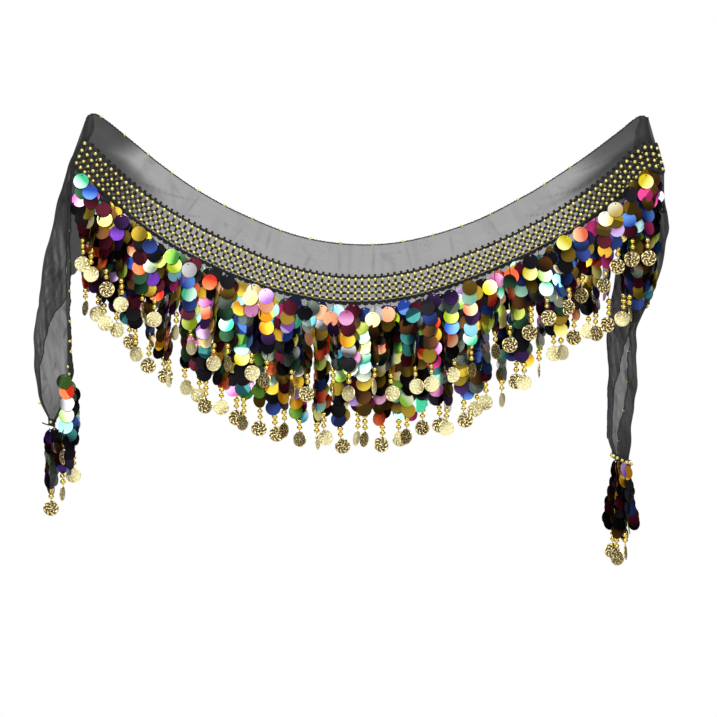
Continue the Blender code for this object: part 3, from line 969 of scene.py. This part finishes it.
def gathered(x):
    """From 0 where the net lies flat to 1 at the grips, which draw it together."""
    return max(1 - soft(25, 105, x), soft(590, 715, x))


def drawn(point, x):
    """A yarn's point with its thickness, which the gathers crowd."""
    return (*point, 1 + 1.1 * gathered(x))


def twined(places, per_turn, point_at):
    """The two strands that twine along a chain or a post. point_at gives a point of theirs from
    its place and how far they have turned."""
    strands = []
    for phase in (0, pi):
        turns = [2 * pi * index / per_turn + phase for index in range(len(places))]
        strands.append([point_at(place, turn) for place, turn in zip(places, turns)])
    return strands


def chain(share):
    """A crocheted chain along the net."""
    def point_at(x, turn):
        here = station(x)
        sway = CHAIN_SWAY * sin(turn) / here.net
        return drawn(net_point(x, share + sway, YARN_OUT + 0.5 * cos(turn), here), x)

    return twined(even_stations(NET_FROM, NET_TO, 1.9, share), CHAIN_TURN, point_at)


def post(x):
    """A post of the net, from its picot down to the loops below."""
    here = station(x)
    slope = radians(here.lean)

    def point_at(share, turn):
        point = net_point(x, share, YARN_OUT + 0.35 * sin(turn), here)
        if share < 0:
            point = net_point(x, 0, YARN_OUT, here)
            point += Vector((sin(slope), 0, cos(slope))) * (-share * here.net)
        side = 0.75 * cos(turn) + 0.4 * noise.noise(Vector((x, share * 6, 1.5)))
        return drawn(point + Vector((cos(slope), 0, -sin(slope))) * side, x)

    return twined(spaced(-PICOT / here.net, 1.0, 22), POST_TURN, point_at)


def loop_line(columns):
    """The slack loops under the last row, which the strands hang from."""
    line = []
    for first, second in zip(columns, columns[1:]):
        for t in spaced(0, 1, 5)[:-1]:
            x = first + (second - first) * t
            point = net_point(x, 1.0, YARN_OUT + 0.2)
            point.z -= 2.6 * sin(pi * t) + 0.2
            line.append(point)
    return line


def front_net():
    columns = even_stations(NET_FROM, NET_TO, NET_PITCH, 0.5)
    yarns = []
    for share in (0.0, *BEAD_ROWS[1:], 1.0):
        yarns += chain(share)
    yarns.append(loop_line(columns))
    for x in columns:
        yarns += post(x)
    tubes("crochet_net", yarns, YARN_RADIUS, ["bead_net"], sides=5)
    rng = random.Random(21)
    beads = []
    pips = []
    for x, following in zip(columns, columns[1:] + [columns[-1]]):
        here = station(x)
        for share in BEAD_ROWS:
            spot = net_point(x, share + rng.uniform(-0.012, 0.012), YARN_OUT + BEAD_OUT, here)
            spot.x += rng.uniform(-0.4, 0.4)
            size = rng.uniform(0.93, 1.07)
            beads.append(Placement(at(spot, rng.uniform(0, 3), rng.uniform(-1, 1), 0, size)))
        middle = (x + following) / 2
        for upper, lower in zip(BEAD_ROWS, BEAD_ROWS[1:]):
            if rng.random() < 0.4:
                spot = net_point(middle, (upper + lower) / 2, YARN_OUT + 0.4)
                spot.x += rng.uniform(-0.7, 0.7)
                pips.append(Placement(at(spot, rng.uniform(0, 3))))
    many("net_beads", seed_bead, beads)
    many("net_pips", pip_bead, pips)


def returned_point(share, z, out):
    """A point of the net on the turned back of the right tail."""
    here = row_between(RIGHT_TAIL, z)
    x = here.right - 3 - share * 30
    fold = tail_fold(here, x, z)
    across = (x - here.left) / (here.right - here.left)
    return Vector((x, here.y + here.deep / 2 + fold + CLOTH / 2 + out, z - here.slant * across))


def returned_net():
    top, bottom = RETURN_NET_SPAN
    yarns = []
    for share in (0.0, 0.27, 0.53, 0.78, 1.0):
        yarns += twined(spaced(top, bottom, 42), CHAIN_TURN, lambda z, turn: returned_point(
            share + 0.02 * sin(turn), z, YARN_OUT + 0.4 * cos(turn)))
    beads = []
    for z in spaced(top, bottom, 8):
        yarns += twined(spaced(-0.1, 1.1, 20), POST_TURN, lambda share, turn: returned_point(
            share, z + 0.7 * cos(turn), YARN_OUT + 0.3 * sin(turn)))
        for share in (0.13, 0.4, 0.66, 0.9):
            beads.append(Placement(at(returned_point(share, z, YARN_OUT + BEAD_OUT))))
    tubes("return_crochet_net", yarns, YARN_RADIUS, ["bead_net_return"], sides=5)
    many("return_net_beads", seed_bead, beads)


front_net()
returned_net()


# ---- fringe ----

# Films of the paillettes, in display colours: how often each comes on a disc that faces the front,
# where the bright films are a painted glare, and on one that is turned aside, where the dark films
# are painted shade; its colour, the lighter colour of the painted highlight that it turns to across
# the disc, and how much of it is solid.
Hue = namedtuple("Hue", "name facing aside colour turned film")
HUES = rows_of(
    Hue,
    ("black", 15, 30, (7, 6, 8), (18, 16, 20), 1.0),
    ("aubergine", 8, 10, (28, 15, 40), (54, 30, 76), 0.98),
    ("maroon", 9, 13, (44, 8, 16), (78, 16, 34), 0.98),
    ("navy", 8, 10, (16, 24, 56), (34, 54, 112), 0.98),
    ("bronze", 10, 11, (58, 44, 10), (116, 92, 26), 0.98),
    ("old_gold", 7, 5, (96, 78, 16), (170, 144, 42), 0.98),
    ("umber", 7, 14, (36, 22, 8), (84, 52, 20), 0.98),
    ("bottle", 5, 6, (14, 34, 24), (44, 82, 54), 0.92),
    ("smoke", 4, 5, (46, 56, 50), (94, 106, 98), 0.8),
    ("clear", 3, 5, (120, 136, 108), (214, 226, 204), 0.35),
    ("moss", 1, 2, (14, 34, 8), (50, 80, 28), 0.78),
    ("violet", 3, 2, (42, 20, 72), (96, 48, 150), 0.98),
    ("royal", 3, 5, (30, 60, 140), (92, 140, 216), 0.98),
    ("cerise", 4, 2, (124, 22, 70), (204, 58, 126), 0.98),
    ("amber", 5, 8, (186, 122, 16), (246, 204, 66), 0.98),
    ("flame", 4, 8, (164, 34, 16), (238, 112, 68), 0.98),
    ("leaf", 3, 4, (34, 92, 28), (136, 190, 74), 0.95),
    ("lime", 4, 4, (130, 150, 24), (222, 236, 116), 0.95),
    ("teal", 2, 2, (10, 50, 54), (58, 128, 124), 0.92),
    ("white", 2, 0, (128, 176, 56), (232, 238, 204), 1.0),
    ("ice", 7, 1, (58, 160, 186), (184, 230, 234), 1.0),
    ("mint", 7, 1, (52, 164, 122), (204, 240, 222), 1.0),
    ("lemon", 5, 3, (196, 178, 26), (250, 246, 160), 1.0),
    ("cream", 4, 1, (206, 178, 92), (250, 246, 214), 1.0),
    ("pink", 6, 1, (196, 80, 154), (242, 176, 222), 1.0),
    ("peach", 5, 1, (206, 98, 64), (246, 194, 150), 1.0),
    ("lilac", 3, 1, (146, 94, 196), (216, 184, 240), 1.0),
    ("mirror", 1, 1, (60, 58, 62), (196, 196, 196), 1.0))
HUE_NAMES = {row.name: row for row in HUES}
ASIDE = 0.5                # turned further than this, a disc takes a painted-shade film from the second column
FAVOUR = 2.0               # how much oftener a stretch's favourite films come there
GROUP_FAVOUR = 10.0        # the same for a group of loose strands

# Along the fringe, how many more of its discs take the painted-shade films, and which films come
# oftenest.
Stretch = namedtuple("Stretch", "to dim favourites")
STRETCHES = rows_of(
    Stretch,
    (45, 0.35, "violet aubergine black flame maroon old_gold"),
    (120, 0.3, "navy black aubergine bronze maroon lemon pink"),
    (340, 0.0, "ice pink mint amber lime white leaf"),
    (470, 0.1, "mint pink peach cream black cerise"),
    (590, 0.25, "pink peach cream navy lime mint"),
    (690, 0.0, "cream peach flame navy pink ice"),
    (800, 0.05, "ice royal bronze navy mint leaf"))

# How a disc's colour turns to its painted highlight: softly across it, by a sharp edge, or hardly
# at all.
Turning = namedtuple("Turning", "often sharpness furthest_edge")
TURNINGS = rows_of(
    Turning,
    (7, 0.85, 0.35), (2, 8.0, 0.7), (2, 0.2, 0.0))


def linear(colour):
    """A display colour as the shader's own numbers."""
    return tuple(part / 255 / 12.92 if part < 10.3 else ((part / 255 + 0.055) / 1.055) ** 2.4
                 for part in colour)


# a coin's turn, and how much painted glare it gets
Coin = namedtuple("Coin", "turn polish")
BARE = Coin(None, None)    # for a strand that ends without a coin

# How a strand hangs: the pitch of its discs, how far they stand to either side, how far it sways,
# how far its discs may turn about its thread and at which shares of that they come to rest, between
# which places down it they come free to turn, over what length they spread out from its binding,
# and the share of the discs facing the front that take painted-shade films like those turned aside.
Strand = namedtuple("Strand", "pitch spread sway twist shares free_from free_by gather dim")
RESTS = (-1.1, -0.9, -0.55, -0.2, -0.1, 0.1, 0.2, 0.55, 0.9, 1.1)
STRAND = Strand(7.0, 4.2, 1.4, 1.2, RESTS, 0, 50, 1, 0.05)
# the tier behind takes more of the painted-shade films than the one in front
BEHIND = Strand(6.8, 4.4, 1.4, 1.15, RESTS, 0, 80, 1, 0.3)
LOOSE = Strand(6.8, 3.2, 1.5, 1.0, (0.9, 1.0, 1.1), 0, 20, 45, 0.35)
DISC_STEP = 2.0            # how far in front of each other the discs to either side are
DISC_LEAN = 9              # how far a disc's foot leans out, in degrees
PAINTED_GLARE_SHARE = 0.4             # share of the coins that get a painted glare
THREAD_RADIUS = 0.42


class Strands:
    """The strands of one part of the fringe, gathered piece by piece and then made at once."""

    def __init__(self, name, seed, favourites=""):
        self.name = name
        self.rng = random.Random(seed)
        self.favourites = favourites
        self.parts = defaultdict(list)

    def film_at(self, x, turn, wanted, dim):
        rng = self.rng
        here = next(stretch for stretch in STRETCHES if x < stretch.to)
        liked = self.favourites or here.favourites
        favour = GROUP_FAVOUR if self.favourites else FAVOUR
        # a disc turned aside, or one picked by the dim shares, takes a dark film: painted shade out
        # of the glare
        dark = abs(turn) > ASIDE or rng.random() < dim + here.dim
        weights = []
        for row in HUES:
            share = row.aside if dark else row.facing
            weights.append(share * (favour if row.name in liked.split() else 1))
        hue = rng.choices(HUES, weights)[0]
        if wanted:
            hue = HUE_NAMES[wanted]
        turning = rng.choices(TURNINGS, [row.often for row in TURNINGS])[0]
        edge = rng.uniform(-turning.furthest_edge, turning.furthest_edge)
        return Film(linear(hue.colour), linear(hue.turned), rng.uniform(0, 2 * pi),
                    turning.sharpness, edge, hue.film)

    def hang(self, top, drop, make, order, coin=None, out=0.0):
        """A strand from a point down: paillettes to either side, then gilt beads, then a coin.
        order names the films of its first discs, coin is its own coin, where it has one, and out
        is how far it stands out sideways below its top."""
        rng = self.rng
        beads = rng.choice((2, 2, 2, 3))
        coin_drop = drop - 2 * COIN_SIZE
        bead_drop = coin_drop - 2 - 2 * DROP_BEAD * beads
        x_sway = rng.uniform(-make.sway, make.sway)
        y_sway = rng.uniform(-0.4, 0.4) * make.sway
        phase = rng.uniform(0, 2 * pi)
        rest = rng.choice(make.shares) * make.twist
        drift = rng.uniform(0, 900)

        def line_at(down):
            share = down / drop
            x = top.x + x_sway * sin(pi * share * 1.3) + 0.5 * sin(down / 9 + phase)
            x += out * soft(0, 0.7, share)
            return Vector((x, top.y + y_sway * sin(pi * share), top.z - down))

        self.parts["threads"].append([line_at(down) for down in spaced(0, coin_drop, 26)])
        wanted = order.split()
        side = -1 if order else rng.choice((-1, 1))
        down = rng.uniform(2.5, 5 if order else 10)
        last = drop - 20 if coin is BARE else bead_drop - 10
        while down < last:
            turn = rest + 0.6 * noise.noise(Vector((down / 60, drift, 0.5)))
            turn = turn * soft(make.free_from, make.free_by, down) + rng.gauss(0, 0.08)
            across = Vector((cos(turn), sin(turn), 0))
            behind = Vector((-sin(turn), cos(turn), 0))
            aside = side * rng.uniform(0.3, 1.2) * make.spread * cos(turn)
            aside *= 0.35 + 0.65 * soft(0, make.gather, down)
            spot = line_at(down) + across * aside
            spot += behind * (side * DISC_STEP + rng.uniform(-0.4, 0.4))
            matrix = at(spot, turn, -radians(rng.gauss(DISC_LEAN, 2)), rng.gauss(0, 0.12))
            film = self.film_at(spot.x, turn, wanted.pop(0) if wanted else None, make.dim)
            self.parts["paillettes"].append(Placement(matrix, film))
            side = -side
            down += make.pitch * rng.uniform(0.7, 1.3)
        if coin is not BARE:
            self.end(line_at, bead_drop, coin_drop, beads, coin)

    def end(self, line_at, bead_drop, coin_drop, beads, coin):
        rng = self.rng
        for index in range(beads):
            spot = line_at(bead_drop + DROP_BEAD * (2 * index + 1))
            self.parts["drop_beads"].append(Placement(at(spot, 0, 0, 0, rng.uniform(0.92, 1.05))))
        facing = rng.choice((rng.gauss(0, 0.07), rng.gauss(0, 0.4), rng.uniform(-1.5, 1.5)))
        # how much painted glare the coin gets
        amount = rng.uniform(0.6, 1) if rng.random() < PAINTED_GLARE_SHARE else rng.uniform(0, 0.12)
        if coin:
            facing, amount = coin
        spot = line_at(coin_drop)
        self.parts["bails"].append(Placement(at(spot, facing + 0.4)))
        tip = radians(rng.gauss(-3, 3))
        spin = rng.uniform(-0.3, 0.3)
        polish = Polish(amount, rng.uniform(0, 2 * pi))
        matrix = at(spot + Vector((0, 0, -0.6)), facing, tip, spin)
        self.parts["coins"].append(Placement(matrix, polish))

    def make(self, replaces):
        many(self.name + "_paillettes", paillette, self.parts["paillettes"], replaces)
        tubes(self.name + "_threads", self.parts["threads"], THREAD_RADIUS, sides=4)
        for part, trim in (("drop_beads", drop_bead), ("bails", bail), ("coins", coin)):
            many(f"{self.name}_{part}", trim, self.parts[part])


STRAND_PITCH = 10.7
UNEVEN_ENDS = (-9, 5)      # how much a strand's length may differ from its tier's

# The order in which the strands follow each other: which tier, and how far in front of the chiffon.
Turn = namedtuple("Turn", "tier deep")
ORDER = rows_of(
    Turn,
    ("short", 20.5), ("long", 6.5), ("short", 20.5), ("long", 6.5), ("long", 12.5))
# Strands that stand out, counted along the fringe: how far each hangs aside of its place, how far
# down its discs face the front, the films of its first ones, and its coin.
Noted = namedtuple("Noted", "aside facing films coin", defaults=[None])
NOTED = {
    0: Noted(5, 25, "mint umber bottle aubergine pink lilac black aubergine"),
    2: Noted(1, 10, "royal lilac maroon mint old_gold navy"),
    5: Noted(-3, 25, "maroon umber lemon old_gold"),
    10: Noted(0, 20, "old_gold lemon black"),
    65: Noted(0, 20, "lemon navy bronze royal"),
    67: Noted(0, 20, "peach aubergine navy old_gold"),
    70: Noted(4, 25, "cream navy bronze royal"),
    71: Noted(-1, 0, "", Coin(0.1, 0.0)),
    72: Noted(3, 25, "cream bronze old_gold ice"),
    73: Noted(3, 0, "", Coin(0.05, 0.9)),
    74: Noted(0, 0, "", Coin(1.3, 0.1)),
    75: Noted(-3, 25, "black navy bronze umber royal"),
    76: Noted(-2, 0, "", BARE),
    77: Noted(1, 3, "lemon bronze cerise maroon"),
    78: Noted(-6, 5, "bronze umber cerise pink umber black", BARE),
    79: Noted(-9, 0, "umber black cerise lilac cerise black aubergine black black black bronze "
                     "lime lemon", BARE),
}
ORDINARY = Noted(0, 0, "")


def front_fringe():
    long_tier = Strands("long_fringe", 7)
    short_tier = Strands("short_fringe", 11)
    for index, x in enumerate(even_stations(FRINGE_FROM + 8, FRINGE_TO, STRAND_PITCH, 1.0)):
        turn = ORDER[index % len(ORDER)]
        here = station(x)
        top = net_point(x, 1.0, 3.0, here)
        top.z -= 1.5
        noted = NOTED.get(index, ORDINARY)
        tier, drop, make = long_tier, here.long, BEHIND
        if turn.tier == "short":
            tier, drop, make = short_tier, here.short, STRAND
        top.y = bow_depth(x) - GRIP_DEPTH - turn.deep + tier.rng.uniform(-0.8, 0.8)
        top.x += noted.aside + tier.rng.uniform(-1, 1)
        make = make._replace(free_from=noted.facing, free_by=noted.facing + make.free_by)
        tier.hang(top, drop + tier.rng.uniform(*UNEVEN_ENDS), make, noted.films, noted.coin)
    long_tier.make([f"fringe_long_{n}" for n in range(1, 7)])
    short_tier.make([f"fringe_short_{n}" for n in range(1, 7)])


front_fringe()

# Loose strands: where each starts, how long it is, how far it stands out sideways, how far down its
# discs face the front and how far the rest are turned, its coin, and the films of its first discs.
Drop = namedtuple("Drop", "x y z length out facing turn coin films", defaults=[""])
RETURN_DROPS = rows_of(
    Drop,
    (734, 20, -46, 138, 0, 60, 1.0, Coin(0.2, 0.8)),
    (739, 23, -62, 126, 0, 10, 0.5, Coin(-1.2, 0.1)),
    (730, 24, -74, 150, 0, 40, 1.0, Coin(0.5, 0.0)),
    (736, 21, -88, 112, 0, 90, 0.6, Coin(-0.1, 0.1)),
    (724, 24, -96, 140, 0, 0, 0.5, Coin(1.3, 0.2)),
    (716, 22, -104, 150, 0, 70, 0.8, Coin(-0.3, 0.9)),
    (728, 25, -108, 128, 0, 30, 0.4, Coin(0.1, 0.0)))
LEFT_HEM_DROPS = rows_of(
    Drop,
    (-25, 1, -318, 138, 2, 72, 1.1, BARE,
     "moss moss flame smoke mirror black white navy ice black teal black black violet black "
     "violet aubergine"),
    (-19, 12, -336, 126, 1, -20, 1.1, Coin(0.2, 0.95),
     "black bottle black leaf ice royal navy navy navy navy"),
    (-29, 12, -346, 92, -2, -20, 1.1, Coin(1.15, 0.1)))
LEFT_TIP_DROPS = rows_of(
    Drop,
    (-44, 9, -388, 117, -2, -20, 0.95, Coin(0.1, 0.05),
     "aubergine black maroon black moss clear smoke clear smoke black cerise aubergine"),
    (-38, 14, -391, 95, 6, -20, 0.9, Coin(1.35, 0.3),
     "black black umber black maroon violet violet violet"),
    (-49, 15, -390, 92, -1, -20, 1.1, BARE, "violet black maroon smoke clear"))
RIGHT_TIP_DROPS = rows_of(
    Drop,
    (691, 5, -430, 130, -5, -20, 0.9, Coin(0.15, 0.05),
     "amber bronze umber maroon amber black flame black amber"),
    (697, 2, -433, 136, -7, -20, 0.75, Coin(-0.6, 0.1),
     "lilac smoke amber umber black amber maroon flame black"),
    (702, 5, -436, 126, 0, -20, 1.0, Coin(1.3, 0.1),
     "amber umber black bottle black black black navy"),
    (690, 14, -431, 100, -8, -20, 0.8, BARE, "umber black black maroon"),
    (703, 13, -438, 96, 9, -20, 0.7, BARE, "black smoke black black black"),
    (696, 17, -430, 112, 2, -20, 0.8, BARE, "black umber black navy"))


def loose_strands(name, seed, drops, replaces, favourites=""):
    group = Strands(name, seed, favourites)
    for drop in drops:
        make = LOOSE._replace(twist=drop.turn, free_from=drop.facing, free_by=drop.facing + 20)
        top = Vector((drop.x, drop.y, drop.z))
        group.hang(top, drop.length, make, drop.films, drop.coin, drop.out)
    group.make(replaces)


loose_strands("return_fringe", 31, RETURN_DROPS, ["fringe_return"])
loose_strands("left_hem_strands", 32, LEFT_HEM_DROPS, ["left_hem_tassel"],
              "aubergine navy black umber")
loose_strands("left_tip_strands", 33, LEFT_TIP_DROPS, ["left_tip_tassel"],
              "maroon umber black aubergine bottle")
loose_strands("right_tip_strands", 34, RIGHT_TIP_DROPS, ["right_tip_tassel"],
              "black maroon umber aubergine navy")


# ---- tips ----

def coil(centre, radius, squash, turns, rise, slant):
    line = []
    for t in spaced(0, turns, int(turns * 14)):
        angle = 2 * pi * t
        x = centre[0] + radius * cos(angle)
        y = centre[1] + radius * squash * sin(angle)
        line.append(Vector((x, y, centre[2] - rise * t - slant * cos(angle) / 2)))
    return line


loose_end = [Vector((-46, 8, -387)), Vector((-50, 7, -386.2)), Vector((-54, 7, -385)),
             Vector((-58, 7.5, -383.4))]
tubes("left_tip_binding", [coil((-46, 12, -379), 4.0, 0.75, 5, 1.7, 2), loose_end], 0.95,
      ["left_tip_knot"])
EDGE_BEADS = [(-61, 7.5, -357.5), (-46.5, 6.5, -382.5), (-22, 8, -277), (-24.5, 7.5, -310.5),
              (-23, 7.5, -320)]
edge_beads = [Placement(at(spot)) for spot in EDGE_BEADS]
many("left_tip_beads", hem_bead, edge_beads)
tubes("right_tip_binding", [coil((697, 10, -427.5), 11.8, 0.5, 4, 1.9, 12)], 1.0,
      ["right_tip_band"])
ring_beads = []
ring_rng = random.Random(12)
for angle in spaced(0, 2 * pi, 12)[:-1]:
    rise = ring_rng.uniform(-1.6, 1.6) - 431 - 6.5 * cos(angle)
    spot = (697 + 12.6 * cos(angle) + ring_rng.uniform(-0.8, 0.8), 10 + 6.8 * sin(angle), rise)
    ring_beads.append(Placement(at(spot)))
many("right_tip_beads", seed_bead, ring_beads)


# ---- pieces carried on each sheet of cloth ----

def carried(*groups):
    """The pieces on a sheet, by how their names begin."""
    starts = tuple(group + "_" for group in groups)
    return [item for item in bpy.data.objects if (item.name + "_").startswith(starts)]


on_front = carried("rolled_hem_top", "crochet_net", "net", "long_fringe", "short_fringe")
on_left = carried("rolled_hem_left", "flap_hem_left", "left_hem", "left_tip")
on_right = carried("rolled_hem_right", "flap_hem_right", "return", "right_tip")


# ---- floor and light ----

FLOOR_RADIUS = 1.65
FLOOR_DOWN = -1.05
LIGHT_AIM = Vector((0.354, 0, -0.25))
SOFTBOXES = [
    ("key", (-0.9, -2.6, 1.0), (1.2, 1.0), 38),
    ("front", (0.3, -3.4, 0.1), (1.3, 0.9), 14),
    ("fill", (1.9, -2.3, 0.5), (1.2, 1.4), 24),
    ("top", (0.35, -0.4, 1.7), (1.8, 1.0), 26),
    ("back_left", (-1.2, 2.2, 0.7), (1.4, 1.2), 30),
    ("back_right", (1.9, 2.0, 0.5), (1.2, 1.2), 26),
]


def floor():
    bm = bmesh.new()
    bmesh.ops.create_circle(bm, cap_ends=True, segments=96, radius=FLOOR_RADIUS)
    made = placed("floor", mesh_from(bm, "floor"))
    made.location = (VIEW_CENTRE.x, 0, FLOOR_DOWN)
    finish = Finish("pale_floor")
    grain = finish.grain(finish.place((1, 1, 1)), 3.0)
    shade = finish.blend(grain, (0.86, 0.86, 0.86, 1), (0.90, 0.90, 0.90, 1))
    made.data.materials.append(finish.surface(Base_Color=shade, Roughness=0.8))


def softbox(name, place, size, power):
    data = bpy.data.lights.new(name, "AREA")
    data.shape = "RECTANGLE"
    data.size, data.size_y = size
    data.energy = power
    made = placed(name, data)
    made.location = place
    made.rotation_euler = (LIGHT_AIM - Vector(place)).to_track_quat("-Z", "Y").to_euler()


def studio():
    world = bpy.data.worlds.new("studio")
    bpy.context.scene.world = world
    world.use_nodes = True
    tree = world.node_tree
    tree.nodes.clear()
    out = tree.nodes.new("ShaderNodeOutputWorld")
    mix = tree.nodes.new("ShaderNodeMixShader")
    around = tree.nodes.new("ShaderNodeBackground")
    around.inputs["Color"].default_value = (0.17, 0.17, 0.18, 1)
    backdrop = tree.nodes.new("ShaderNodeBackground")
    backdrop.inputs["Color"].default_value = (1, 1, 1, 1)
    path = tree.nodes.new("ShaderNodeLightPath")
    tree.links.new(path.outputs["Is Camera Ray"], mix.inputs[0])
    tree.links.new(around.outputs[0], mix.inputs[1])
    tree.links.new(backdrop.outputs[0], mix.inputs[2])
    tree.links.new(mix.outputs[0], out.inputs[0])
    for box in SOFTBOXES:
        softbox(*box)


floor()
studio()
bpy.context.scene.view_settings.view_transform = "Standard"
bpy.context.scene.cycles.transparent_max_bounces = 24
